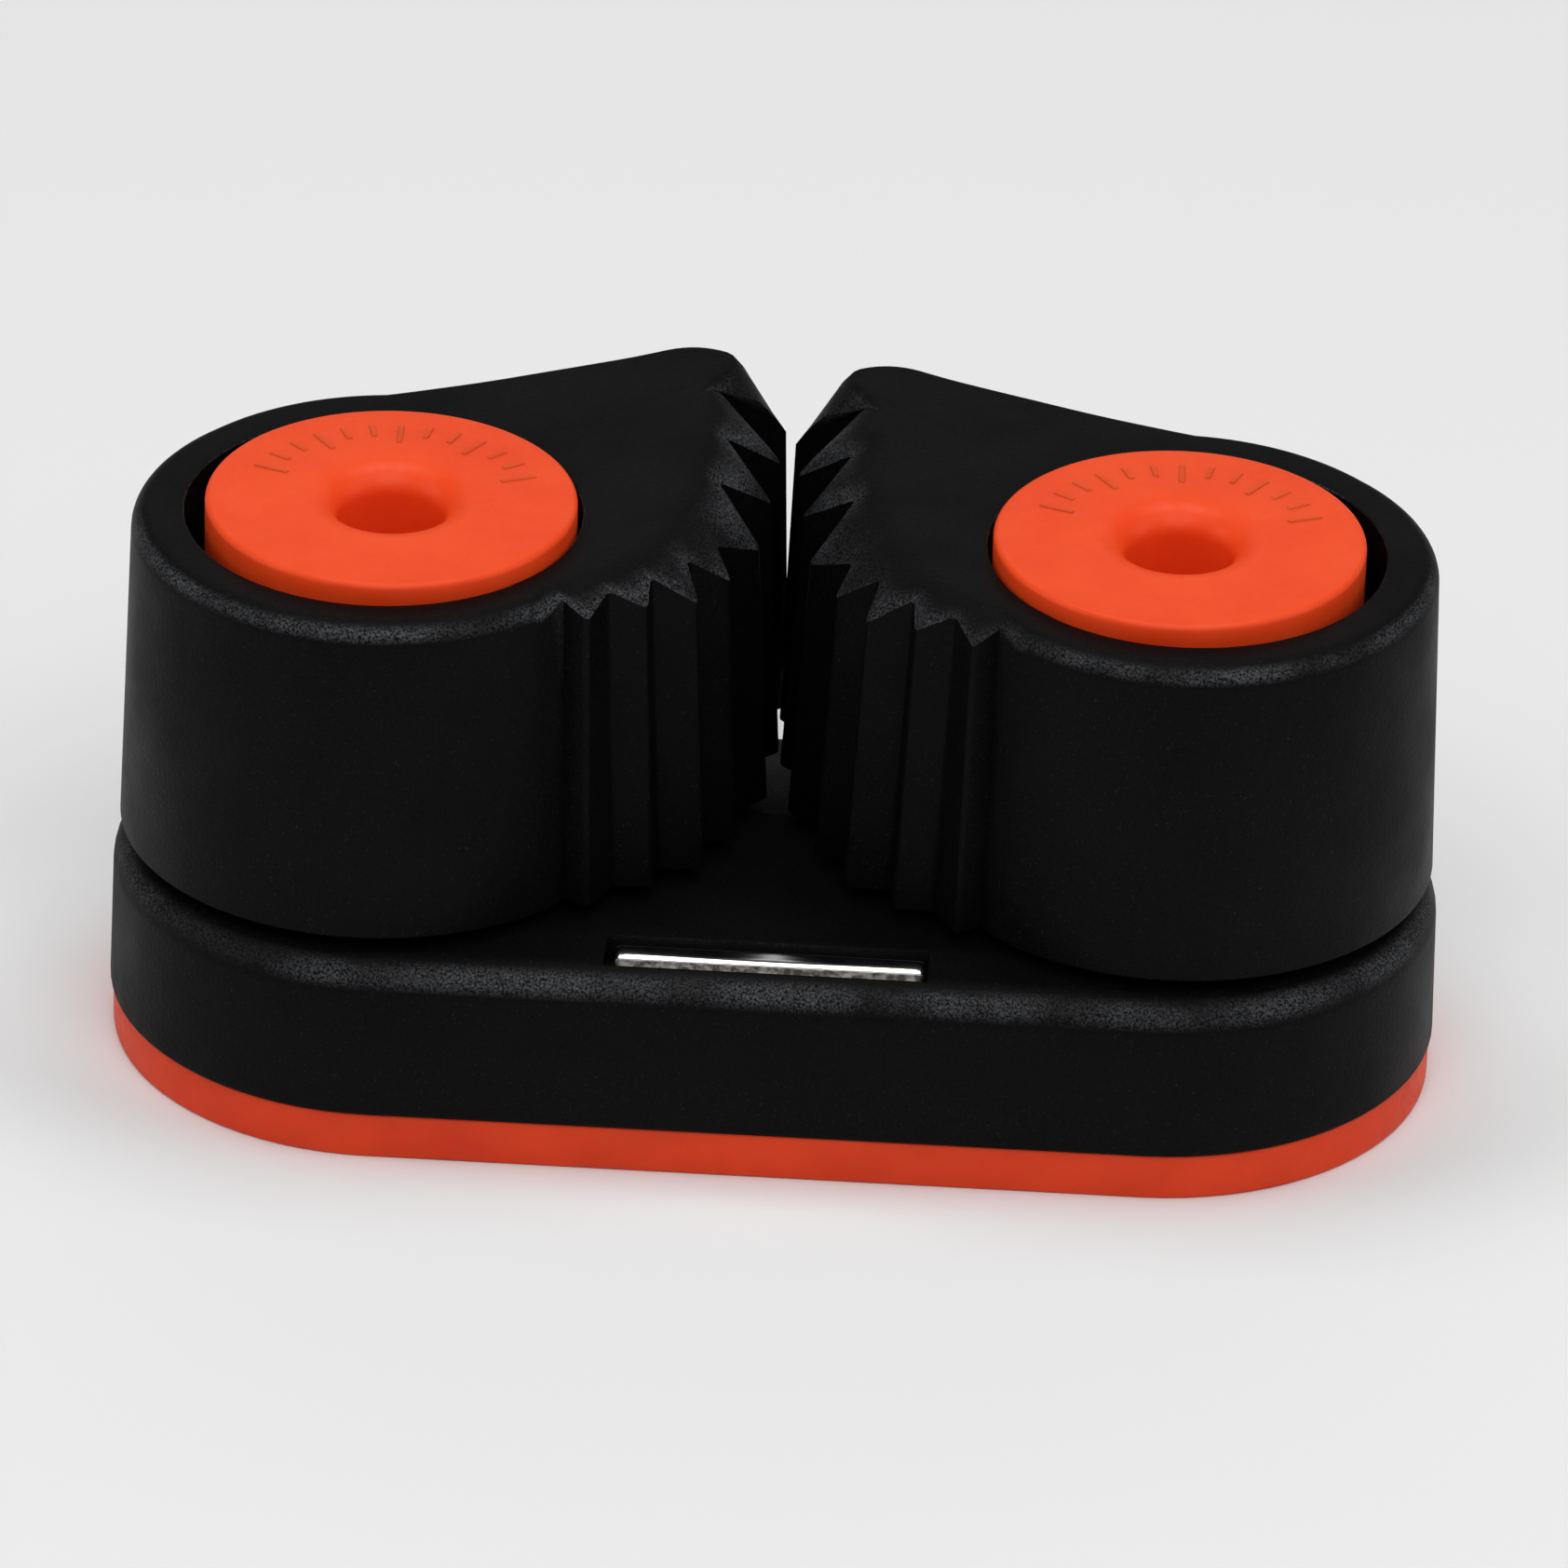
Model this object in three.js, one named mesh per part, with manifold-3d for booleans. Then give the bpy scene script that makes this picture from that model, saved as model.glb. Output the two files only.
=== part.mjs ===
// Ball-bearing cam cleat for a yacht's control line. Millimetres, +Z up.
// +X runs from the left post to the right post, -Y is the side that the loaded line comes from,
// and the origin is the centre of the base pad's underside.
import * as THREE from 'three';
import { mergeVertices } from 'three/addons/utils/BufferGeometryUtils.js';
import Module from 'manifold-3d';

const wasm = await Module();
wasm.setup();

// ---- Driving dimensions ----------------------------------------------------------------------

const POST_SPACING = 38;
const BASE_LENGTH = 65;
const BASE_WIDTH = 27.5;
const PAD_TOP = 2.4;
const BASE_TOP = 10.7;
const CAM_BOTTOM = 11.4;
const CAM_TOP = 28.1;
const CAP_TOP = 29.05;

const PAD_INSET = 0.15;
const BASE_EDGE_RADIUS = 1.8;
const BASE_DRAFT = 0.15;
const SCREW_HOLE_RADIUS = 2.6;

// Ball race: two rows of nominal 5/32 inch balls between the post and the cam.
const BALL_RADIUS = 1.95;
const PITCH_RADIUS = 7.0;
const STEM_RADIUS = 4.85;
const RACE_RADIUS = 9.07;
const BALLS_PER_ROW = 10;
const LOWER_ROW_Z = 14.5;
const UPPER_ROW_Z = 21.7;
const WEB_RADIUS = 6.2;
const WEB_BOTTOM = 16.8;
const WEB_TOP = 19.4;
const COUNTERBORE_RADIUS = 9.62;
const COUNTERBORE_FLOOR = 23.9;

const FLANGE_RADIUS = 8.98;
const FLANGE_BOTTOM = 24.0;
const FLANGE_EDGE = 0.45;
const FUNNEL_RADIUS = 4.35;
const FUNNEL_DEPTH = 1.4;

const BOSS_RADIUS = 6.6;
const BOSS_TOP = 12.2;
const STEM_CLEARANCE = 0.3;

// Torsion spring in the base, round the boss.
const WIRE_RADIUS = 0.6;
const SPRING_RADIUS = 7.6;
const SPRING_BOTTOM_Z = 4.6;
const SPRING_PITCH = 1.35;
const SPRING_TURNS = 3;
const POCKET_RADIUS = 8.65;
const POCKET_FLOOR = 3.6;
const LEG_RADIUS = 10.45;
const LEG_ANGLE = 112;
const LEG_TOP_Z = 13.6;
const COIL_START_ANGLE = LEG_ANGLE - 360 * SPRING_TURNS + 72;
const LOWER_LEG_ANGLE = COIL_START_ANGLE - 8;
const LOWER_LEG_LENGTH = 3.2;
const LOWER_LEG_SLOT = 2.4;
const LEG_HOLE_RADIUS = 0.95;
const LEG_HOLE_TOP = 14.3;
const SWEEP_FLOOR = 8.0;
const SWEEP_RADIUS = 11.5;
const OPENING_ANGLE = 42;
const SWEEP_MARGIN = 13;

// A shallow scoop in the base's rear edge between the posts, where the line leaves.
const SCOOP_RADIUS = 13;
const SCOOP_DEPTH = 1.7;
const SCOOP_TILT = 9;

// Wear bar in its groove at the front lip.
const BAR_LENGTH = 15.0;
const BAR_RADIUS = 1.2;
const BAR_Y = -10.8;
const BAR_TOP = 10.8;
const BAR_SHIFT_X = 0.38;
const BAR_CHAMFER = 0.2;
const GROOVE_LENGTH = 15.6;
const GROOVE_SHIFT_X = 0.2;
const GROOVE_CLEARANCE = 0.2;

// How far each cam stands from the drawn outline when the cleat is at rest, in degrees of opening.
const LEFT_REST_TURN = 2;
const RIGHT_REST_TURN = -1.9;

// ---- Cam outline: left cam, pivot at (0, 0), +x toward the gap, +y to the rear -------------------

const HUB_RADIUS = 12.1;
const HUB_CENTRE = [-0.45, 0.35];
const HUB_DRAFT = 0.5;
const HUB_STEPS = 15;
const HUB_START_ANGLE = 92;
const HUB_END_ANGLE = 312;

// Teeth from the front of the jaw to the rear: a tip, then the valley behind it.
const TEETH = [
  [9.8, -8.1], [10.7, -6.15],
  [12.6, -6.1], [12.65, -4.4],
  [15.0, -4.1], [14.3, -2.05],
  [16.5, -1.0], [15.7, 0.6],
  [17.85, 3.1], [15.65, 5.5],
  [18.3, 7.6], [15.9, 10.0],
  [18.65, 12.0], [15.4, 14.6],
  [18.75, 16.6],
];
const FRONT_VALLEY = [8.6, -7.4];
const REAR_TIP = [[15.3, 18.6], [14.5, 18.9], [13.6, 18.6]];
const REAR_EDGE = [[10.7, 17.2], [7.0, 15.55], [3.4, 14.0]];

// The crease where the flat top starts to slope down to the teeth, front to rear.
const CREASE = [[7.6, -6.4], [9.6, -5.2], [11.6, -2.6], [13.0, 1.4], [14.0, 6.5], [14.2, 11.5], [14.5, 14.45]];
const SLOPE_LINEAR = 0.055;
const SLOPE_CURVED = 0.145;
const EDGE_RADIUS = 1.1;
const REAR_EDGE_RADIUS = 0.5;

// How much further out the jaw's face stands at the bottom than at the top, front to rear.
const JAW_DRAFT = [0.5, 0.65, 0.75, 0.75, 0.7, 0.58, 0.35, 0.3];
const BORE_PLAY = [-0.38, 0.32];

const COLOURS = {
  black: { color: 0x1d1f22, roughness: 0.55, metalness: 0 },
  orange: { color: 0xee4f22, roughness: 0.4, metalness: 0 },
  steel: { color: 0xb9bcc0, roughness: 0.25, metalness: 1 },
  ball: { color: 0x24272b, roughness: 0.35, metalness: 0 },
};

// ---- Small helpers -------------------------------------------------------------------------------

const radians = THREE.MathUtils.degToRad;

function polar(radius, degrees, centre = [0, 0]) {
  const angle = radians(degrees);
  return [centre[0] + radius * Math.cos(angle), centre[1] + radius * Math.sin(angle)];
}

function toManifold(geometry) {
  const bare = geometry.clone();
  bare.deleteAttribute('normal');
  bare.deleteAttribute('uv');
  const merged = mergeVertices(bare, 1e-4);
  return new wasm.Manifold(new wasm.Mesh({
    numProp: 3,
    vertProperties: new Float32Array(merged.attributes.position.array),
    triVerts: new Uint32Array(merged.index.array),
  }));
}

function toGeometry(manifold) {
  const mesh = manifold.getMesh();
  const geometry = new THREE.BufferGeometry();
  geometry.setAttribute('position', new THREE.BufferAttribute(mesh.vertProperties, 3));
  geometry.setIndex(new THREE.BufferAttribute(mesh.triVerts, 1));
  geometry.computeVertexNormals();
  return geometry;
}

function cut(geometry, cutters) {
  let body = toManifold(geometry);
  for (const cutter of cutters) {
    body = body.subtract(toManifold(cutter));
  }
  return toGeometry(body);
}

// A closed solid from rings of points: side walls between neighbours, flat ends, or a loop.
function solidFromRings(rings, { loop = false } = {}) {
  const count = rings[0].length;
  const positions = rings.flat(2);
  const indices = [];
  const spans = loop ? rings.length : rings.length - 1;
  for (let i = 0; i < spans; i += 1) {
    const here = i * count;
    const next = ((i + 1) % rings.length) * count;
    for (let k = 0; k < count; k += 1) {
      const after = (k + 1) % count;
      indices.push(here + k, here + after, next + after);
      indices.push(here + k, next + after, next + k);
    }
  }
  if (!loop) {
    const flat = (ring) => ring.map(([x, y]) => new THREE.Vector2(x, y));
    const last = (rings.length - 1) * count;
    for (const [a, b, c] of THREE.ShapeUtils.triangulateShape(flat(rings[0]), [])) {
      indices.push(a, c, b);
    }
    for (const [a, b, c] of THREE.ShapeUtils.triangulateShape(flat(rings[rings.length - 1]), [])) {
      indices.push(last + a, last + b, last + c);
    }
  }
  const geometry = new THREE.BufferGeometry();
  geometry.setAttribute('position', new THREE.Float32BufferAttribute(positions, 3));
  geometry.setIndex(indices);
  return geometry;
}

function lathe(profile, segments) {
  const points = profile.map(([r, z]) => new THREE.Vector2(r, z));
  const geometry = new THREE.LatheGeometry(points, segments);
  geometry.rotateX(Math.PI / 2);
  return geometry;
}

function cylinder(radius, bottom, top, x, y, segments = 24) {
  const geometry = new THREE.CylinderGeometry(radius, radius, top - bottom, segments);
  geometry.rotateX(Math.PI / 2);
  geometry.translate(x, y, (top + bottom) / 2);
  return geometry;
}

// ---- Base and pad --------------------------------------------------------------------------------

const END_CENTRE = (BASE_LENGTH - BASE_WIDTH) / 2;
const END_STEPS = 14;

function stadium(inset, z) {
  const radius = BASE_WIDTH / 2 - inset;
  const ring = [];
  for (const side of [1, -1]) {
    for (let i = 0; i <= END_STEPS; i += 1) {
      const degrees = (side > 0 ? -90 : 90) + (180 * i) / END_STEPS;
      const [x, y] = polar(radius, degrees, [side * END_CENTRE, 0]);
      ring.push([x, y, z]);
    }
  }
  return ring;
}

function padGeometry() {
  const pad = solidFromRings([stadium(PAD_INSET, 0), stadium(PAD_INSET, PAD_TOP)]);
  const holes = [-1, 1].map((side) => (
    cylinder(SCREW_HOLE_RADIUS, -1, PAD_TOP + 1, (side * POST_SPACING) / 2, 0)
  ));
  return cut(pad, holes);
}

// An annular pocket with a boss left standing in the middle.
function springPocket() {
  return lathe([
    [BOSS_RADIUS, POCKET_FLOOR], [POCKET_RADIUS, POCKET_FLOOR],
    [POCKET_RADIUS, BASE_TOP + 3], [BOSS_RADIUS, BASE_TOP + 3], [BOSS_RADIUS, POCKET_FLOOR],
  ], 32);
}

// The wider sector at the top of the pocket, where the spring's upper leg swings with the cam.
function legSweep() {
  const from = LEG_ANGLE - SWEEP_MARGIN;
  const to = LEG_ANGLE + OPENING_ANGLE + SWEEP_MARGIN;
  const steps = 6;
  const arc = (radius) => [...Array(steps + 1).keys()].map((i) => (
    new THREE.Vector2(...polar(radius, from + ((to - from) * i) / steps))
  ));
  const shape = new THREE.Shape([...arc(SWEEP_RADIUS), ...arc(SPRING_RADIUS).reverse()]);
  const geometry = new THREE.ExtrudeGeometry(shape, { depth: BASE_TOP + 3 - SWEEP_FLOOR, bevelEnabled: false });
  geometry.translate(0, 0, SWEEP_FLOOR);
  return geometry;
}

// The slot that holds the spring's lower leg against turning.
function lowerLegSlot() {
  const geometry = new THREE.BoxGeometry(LOWER_LEG_LENGTH + 1, LOWER_LEG_SLOT, LOWER_LEG_SLOT);
  geometry.translate(SPRING_RADIUS + (LOWER_LEG_LENGTH + 1) / 2, 0, SPRING_BOTTOM_Z);
  geometry.rotateZ(radians(LOWER_LEG_ANGLE));
  return geometry;
}

function baseGeometry() {
  const shoulder = BASE_TOP - BASE_EDGE_RADIUS;
  const rings = [stadium(0, PAD_TOP), stadium(BASE_DRAFT, shoulder)];
  const edgeSteps = 4;
  for (let i = 1; i <= edgeSteps; i += 1) {
    const angle = (Math.PI / 2) * (i / edgeSteps);
    const inset = BASE_DRAFT + BASE_EDGE_RADIUS * (1 - Math.cos(angle));
    rings.push(stadium(inset, shoulder + BASE_EDGE_RADIUS * Math.sin(angle)));
  }
  let base = toManifold(solidFromRings(rings));
  for (const cutter of [...grooveCutters(), scoopCutter()]) {
    base = base.subtract(toManifold(cutter));
  }
  for (const side of [-1, 1]) {
    const boss = cylinder(BOSS_RADIUS, BASE_TOP - 1, BOSS_TOP, 0, 0, 32);
    const cutters = [springPocket(), legSweep(), lowerLegSlot()];
    for (const piece of [boss, ...cutters]) {
      if (side > 0) {
        piece.scale(-1, 1, 1);
        flipFaces(piece);
      }
      piece.translate((side * POST_SPACING) / 2, 0, 0);
    }
    base = base.add(toManifold(boss));
    for (const cutter of cutters) {
      base = base.subtract(toManifold(cutter));
    }
    const bore = cylinder(STEM_RADIUS + STEM_CLEARANCE, 0, BOSS_TOP + 1, (side * POST_SPACING) / 2, 0, 32);
    base = base.subtract(toManifold(bore));
  }
  return toGeometry(base);
}

// Turns every triangle round, after a mirror.
function flipFaces(geometry) {
  if (!geometry.index) {
    geometry.setIndex([...Array(geometry.attributes.position.count).keys()]);
  }
  const index = geometry.index.array;
  for (let i = 0; i < index.length; i += 3) {
    [index[i], index[i + 1]] = [index[i + 1], index[i]];
  }
}

// The bar's groove: a round floor with straight walls above it and square ends.
function grooveCutters() {
  const radius = BAR_RADIUS + GROOVE_CLEARANCE;
  const centreZ = BAR_TOP - BAR_RADIUS;
  const floor = new THREE.CylinderGeometry(radius, radius, GROOVE_LENGTH, 16);
  floor.rotateZ(Math.PI / 2);
  floor.translate(GROOVE_SHIFT_X, BAR_Y, centreZ);
  const walls = new THREE.BoxGeometry(GROOVE_LENGTH, 2 * radius, 3);
  walls.translate(GROOVE_SHIFT_X, BAR_Y, centreZ + 1.5);
  return [floor, walls];
}

// A long cylinder along Y, tilted so that it bites deeper toward the rear edge.
function scoopCutter() {
  const length = 40;
  const scoop = new THREE.CylinderGeometry(SCOOP_RADIUS, SCOOP_RADIUS, length, 64);
  scoop.rotateX(radians(-SCOOP_TILT));
  scoop.translate(0, BASE_WIDTH / 2, BASE_TOP - SCOOP_DEPTH + SCOOP_RADIUS / Math.cos(radians(SCOOP_TILT)));
  return scoop;
}

function barGeometry() {
  const half = BAR_LENGTH / 2;
  const bar = lathe([
    [0, -half], [BAR_RADIUS - BAR_CHAMFER, -half], [BAR_RADIUS, BAR_CHAMFER - half],
    [BAR_RADIUS, half - BAR_CHAMFER], [BAR_RADIUS - BAR_CHAMFER, half], [0, half],
  ], 20);
  bar.rotateY(Math.PI / 2);
  return bar;
}

// ---- Post and cap --------------------------------------------------------------------------------

function capGeometry() {
  const funnelSteps = 5;
  const profile = [[SCREW_HOLE_RADIUS, PAD_TOP]];
  for (let i = 0; i <= funnelSteps; i += 1) {
    const share = i / funnelSteps;
    const flare = (FUNNEL_RADIUS - SCREW_HOLE_RADIUS) * (1 - Math.sqrt(1 - share * share));
    profile.push([SCREW_HOLE_RADIUS + flare, CAP_TOP - FUNNEL_DEPTH * (1 - share)]);
  }
  profile.push([FLANGE_RADIUS - FLANGE_EDGE, CAP_TOP]);
  profile.push([FLANGE_RADIUS - 0.13, CAP_TOP - 0.13]);
  profile.push([FLANGE_RADIUS, CAP_TOP - FLANGE_EDGE]);
  profile.push([FLANGE_RADIUS, FLANGE_BOTTOM]);
  profile.push([STEM_RADIUS, FLANGE_BOTTOM]);
  profile.push([STEM_RADIUS, PAD_TOP]);
  profile.push([SCREW_HOLE_RADIUS, PAD_TOP]);
  return lathe(profile.reverse(), 40);
}

// ---- Cam -----------------------------------------------------------------------------------------

// Each station: outer edge point, the foot of its top slope or rounding, and its bottom point.
function camStations() {
  const stations = [];
  const crease = new THREE.SplineCurve(CREASE.map(([x, y]) => new THREE.Vector2(x, y)));
  const jaw = [FRONT_VALLEY, ...TEETH];
  jaw.forEach((edge, i) => {
    const foot = crease.getPoint(i / (jaw.length - 1));
    const draft = JAW_DRAFT[Math.floor(i / 2)];
    const out = new THREE.Vector2(edge[0] - foot.x, edge[1] - foot.y).normalize();
    const bottom = [edge[0] + draft * out.x, edge[1] + draft * out.y];
    stations.push({ edge, foot: [foot.x, foot.y], bottom, sloping: true });
  });
  const hub = [];
  for (let i = 0; i <= HUB_STEPS; i += 1) {
    const degrees = HUB_START_ANGLE + ((HUB_END_ANGLE - HUB_START_ANGLE) * i) / HUB_STEPS;
    hub.push(polar(HUB_RADIUS, degrees, HUB_CENTRE));
  }
  const rear = [...REAR_TIP, ...REAR_EDGE];
  const rim = [...rear, ...hub];
  const around = [TEETH[TEETH.length - 1], ...rim, FRONT_VALLEY];
  rim.forEach((edge, i) => {
    const before = around[i];
    const after = around[i + 2];
    const along = new THREE.Vector2(after[0] - before[0], after[1] - before[1]).normalize();
    const rounding = i < rear.length ? REAR_EDGE_RADIUS : EDGE_RADIUS;
    const draft = i < rear.length ? 0 : HUB_DRAFT * Math.min(1, (i - rear.length) / 3);
    const inward = (distance) => [edge[0] - along.y * distance, edge[1] + along.x * distance];
    stations.push({ edge, foot: inward(rounding), bottom: inward(-draft), sloping: false });
  });
  return stations;
}

function camGeometry(restTurn) {
  const rings = camStations().map(({ edge, foot, bottom, sloping }) => {
    const angle = Math.atan2(foot[1], foot[0]);
    const inner = (radius, z, shift = [0, 0]) => [...polar(radius, THREE.MathUtils.radToDeg(angle), shift), z];
    const reach = Math.hypot(edge[0] - foot[0], edge[1] - foot[1]);
    const middle = sloping ? 0.5 : 0.7;
    const drop = (d) => (sloping
      ? SLOPE_LINEAR * d + SLOPE_CURVED * d * d
      : reach - Math.sqrt(reach ** 2 - Math.min(d, reach) ** 2));
    const between = (share) => [
      foot[0] + (edge[0] - foot[0]) * share,
      foot[1] + (edge[1] - foot[1]) * share,
      CAM_TOP - drop(reach * share),
    ];
    return [
      [bottom[0], bottom[1], CAM_BOTTOM],
      between(1),
      between(middle),
      between(0),
      inner(COUNTERBORE_RADIUS, CAM_TOP, BORE_PLAY),
      inner(COUNTERBORE_RADIUS, COUNTERBORE_FLOOR, BORE_PLAY),
      inner(RACE_RADIUS, COUNTERBORE_FLOOR),
      inner(RACE_RADIUS, WEB_TOP),
      inner(WEB_RADIUS, WEB_TOP),
      inner(WEB_RADIUS, WEB_BOTTOM),
      inner(RACE_RADIUS, WEB_BOTTOM),
      inner(RACE_RADIUS, CAM_BOTTOM),
    ];
  });
  const body = solidFromRings(rings.reverse(), { loop: true });
  const [x, y] = polar(LEG_RADIUS, LEG_ANGLE - restTurn);
  return cut(body, [cylinder(LEG_HOLE_RADIUS, CAM_BOTTOM - 1, LEG_HOLE_TOP, x, y, 12)]);
}

// ---- Spring --------------------------------------------------------------------------------------

// Lower leg in the base, close coils round the boss, upper leg out and up into the cam.
class SpringCurve extends THREE.Curve {
  constructor() {
    super();
    const points = [];
    const rise = SPRING_PITCH * SPRING_TURNS;
    const add = (radius, degrees, z) => points.push(new THREE.Vector3(...polar(radius, degrees), z));
    add(SPRING_RADIUS + LOWER_LEG_LENGTH, LOWER_LEG_ANGLE, SPRING_BOTTOM_Z);
    add(SPRING_RADIUS + LOWER_LEG_LENGTH / 2, LOWER_LEG_ANGLE, SPRING_BOTTOM_Z);
    const sweep = LEG_ANGLE - COIL_START_ANGLE - 14;
    const stepCount = 12 * SPRING_TURNS;
    for (let i = 0; i <= stepCount; i += 1) {
      const share = i / stepCount;
      add(SPRING_RADIUS, COIL_START_ANGLE + sweep * share, SPRING_BOTTOM_Z + rise * share);
    }
    const coilTop = SPRING_BOTTOM_Z + rise;
    add(SPRING_RADIUS + 1.4, LEG_ANGLE - 4, coilTop + 0.15);
    add(LEG_RADIUS - 0.3, LEG_ANGLE - 0.5, coilTop + 0.8);
    add(LEG_RADIUS, LEG_ANGLE, coilTop + 2.2);
    add(LEG_RADIUS, LEG_ANGLE, LEG_TOP_Z);
    this.spline = new THREE.CatmullRomCurve3(points, false, 'centripetal');
  }

  getPoint(share, target = new THREE.Vector3()) {
    return this.spline.getPoint(share, target);
  }
}

function springGeometry() {
  const sides = 6;
  const corners = [...Array(sides).keys()].map((i) => (
    new THREE.Vector2(...polar(WIRE_RADIUS, (360 * i) / sides))
  ));
  return new THREE.ExtrudeGeometry(new THREE.Shape(corners), {
    steps: 72, bevelEnabled: false, extrudePath: new SpringCurve(),
  });
}

// ---- Assembly ------------------------------------------------------------------------------------

const cleat = new THREE.Group();

function addPiece(name, geometry, look, parent = cleat) {
  const mesh = new THREE.Mesh(geometry, new THREE.MeshStandardMaterial(COLOURS[look]));
  mesh.name = name;
  parent.add(mesh);
  return mesh;
}

function mirrored(geometry) {
  const copy = geometry.clone();
  copy.scale(-1, 1, 1);
  flipFaces(copy);
  return copy;
}

addPiece('base_pad', padGeometry(), 'orange');
addPiece('base', baseGeometry(), 'black');
const bar = addPiece('wear_bar', barGeometry(), 'steel');
bar.position.set(BAR_SHIFT_X, BAR_Y, BAR_TOP - BAR_RADIUS);

const spring = springGeometry();
const cap = capGeometry();
const ball = new THREE.IcosahedronGeometry(BALL_RADIUS, 1);

for (const side of ['left', 'right']) {
  const isLeft = side === 'left';
  const post = new THREE.Group();
  post.position.x = (isLeft ? -1 : 1) * (POST_SPACING / 2);
  cleat.add(post);

  addPiece(`${side}_cap`, cap, 'orange', post);
  addPiece(`${side}_spring`, isLeft ? spring : mirrored(spring), 'steel', post);
  const restTurn = isLeft ? LEFT_REST_TURN : RIGHT_REST_TURN;
  const cam = camGeometry(restTurn);
  const turned = addPiece(`${side}_cam`, isLeft ? cam : mirrored(cam), 'black', post);
  turned.rotation.z = radians(isLeft ? restTurn : -restTurn);

  const rows = { lower: LOWER_ROW_Z, upper: UPPER_ROW_Z };
  for (const [row, z] of Object.entries(rows)) {
    for (let i = 0; i < BALLS_PER_ROW; i += 1) {
      const number = String(i + 1).padStart(2, '0');
      const piece = addPiece(`${side}_${row}_ball_${number}`, ball, 'ball', post);
      const [x, y] = polar(PITCH_RADIUS, (360 * i) / BALLS_PER_ROW);
      piece.position.set(x, y, z);
    }
  }
}

export default cleat;
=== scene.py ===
import math

import bmesh
import bpy
from mathutils import Matrix, Vector


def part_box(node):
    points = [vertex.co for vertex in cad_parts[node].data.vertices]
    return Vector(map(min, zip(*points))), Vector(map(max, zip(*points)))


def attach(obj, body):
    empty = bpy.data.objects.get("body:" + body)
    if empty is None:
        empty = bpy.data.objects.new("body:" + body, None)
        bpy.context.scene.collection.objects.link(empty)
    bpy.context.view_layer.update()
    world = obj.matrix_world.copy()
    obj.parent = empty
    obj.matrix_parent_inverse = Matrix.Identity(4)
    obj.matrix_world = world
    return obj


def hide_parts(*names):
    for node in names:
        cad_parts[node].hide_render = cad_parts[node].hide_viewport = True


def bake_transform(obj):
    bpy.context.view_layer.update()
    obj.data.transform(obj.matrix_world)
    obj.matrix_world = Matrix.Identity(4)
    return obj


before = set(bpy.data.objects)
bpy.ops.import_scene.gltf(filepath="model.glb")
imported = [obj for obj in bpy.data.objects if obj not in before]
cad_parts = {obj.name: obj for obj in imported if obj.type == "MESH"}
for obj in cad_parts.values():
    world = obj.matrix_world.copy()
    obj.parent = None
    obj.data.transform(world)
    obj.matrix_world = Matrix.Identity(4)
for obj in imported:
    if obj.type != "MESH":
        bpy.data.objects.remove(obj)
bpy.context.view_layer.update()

# Looks of the ball-bearing cam cleat. Lengths below are millimetres; MM turns them into Blender's
# metres. +X runs from the left post to the right post, -Y is the side of the load, +Z is up.
MM = 0.001


def frame_box(node):
    """A CAD node's lowest and highest corners in millimetres."""
    low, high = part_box(node)
    return Vector(low) / MM, Vector(high) / MM


# ---- Dimensions, from the frame and from the CAD model's drawing --------------------------------

PAD_LOW, PAD_HIGH = frame_box("base_pad")
BASE_LOW, BASE_HIGH = frame_box("base")
CAP_LOW, CAP_HIGH = frame_box("left_cap")
CAM_LOW, CAM_HIGH = frame_box("left_cam")
BAR_LOW, BAR_HIGH = frame_box("wear_bar")

POST_X = -(CAP_LOW.x + CAP_HIGH.x) / 2
BASE_LENGTH = BASE_HIGH.x - BASE_LOW.x
BASE_WIDTH = BASE_HIGH.y - BASE_LOW.y
PAD_TOP = PAD_HIGH.z
BASE_TOP = 10.7
CAM_BOTTOM = CAM_LOW.z
CAM_TOP = CAM_HIGH.z
CAP_TOP = CAP_HIGH.z
FLANGE_RADIUS = (CAP_HIGH.x - CAP_LOW.x) / 2
BAR_RADIUS = (BAR_HIGH.z - BAR_LOW.z) / 2
BAR_CENTRE = (BAR_LOW + BAR_HIGH) / 2
BAR_LENGTH = BAR_HIGH.x - BAR_LOW.x

SCREW_HOLE_RADIUS = 2.6
STEM_RADIUS = 4.85
RACE_RADIUS = 9.07
WEB_RADIUS = 6.2
WEB_BOTTOM = 16.8
WEB_TOP = 19.4
COUNTERBORE_RADIUS = 9.62
COUNTERBORE_FLOOR = 23.9
BORE_PLAY = Vector((-0.38, 0.32))
FLANGE_BOTTOM = 24.0
BOSS_RADIUS = 6.6
BOSS_TOP = 12.2
POCKET_RADIUS = 8.65
POCKET_FLOOR = 3.6
BALL_RADIUS = 1.95
BALLS_PER_ROW = 10

WIRE_RADIUS = 0.6
SPRING_RADIUS = 7.6
SPRING_BOTTOM_Z = 4.6
SPRING_PITCH = 1.35
SPRING_TURNS = 3
LEG_RADIUS = 10.45
LEG_ANGLE = 112
LEG_TOP_Z = 13.6
LEG_HOLE_RADIUS = 0.95
LEG_HOLE_TOP = 14.3
COIL_START_ANGLE = LEG_ANGLE - 360 * SPRING_TURNS + 72
LOWER_LEG_ANGLE = COIL_START_ANGLE - 8
LOWER_LEG_LENGTH = 3.2
LOWER_LEG_SLOT = 2.4
SWEEP_FLOOR = 8.0
SWEEP_RADIUS = 11.5
SWEEP_MARGIN = 13
OPENING_ANGLE = 42

TICK_COUNT = 13
TICK_START_ANGLE = 22
TICK_STEP_ANGLE = 11.5
TICK_HEIGHT = 0.06

SCOOP_RADIUS = 13
SCOOP_DEPTH = 1.7
SCOOP_TILT = 9

GROOVE_LENGTH = 15.6
GROOVE_SHIFT_X = 0.2
GROOVE_CLEARANCE = 0.2
# Where the front of the bar starts: pitted and rougher from wear, and darkened by painted shade.
BAR_WEAR_AND_SHADE_Y = BAR_CENTRE.y - 0.62

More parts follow.
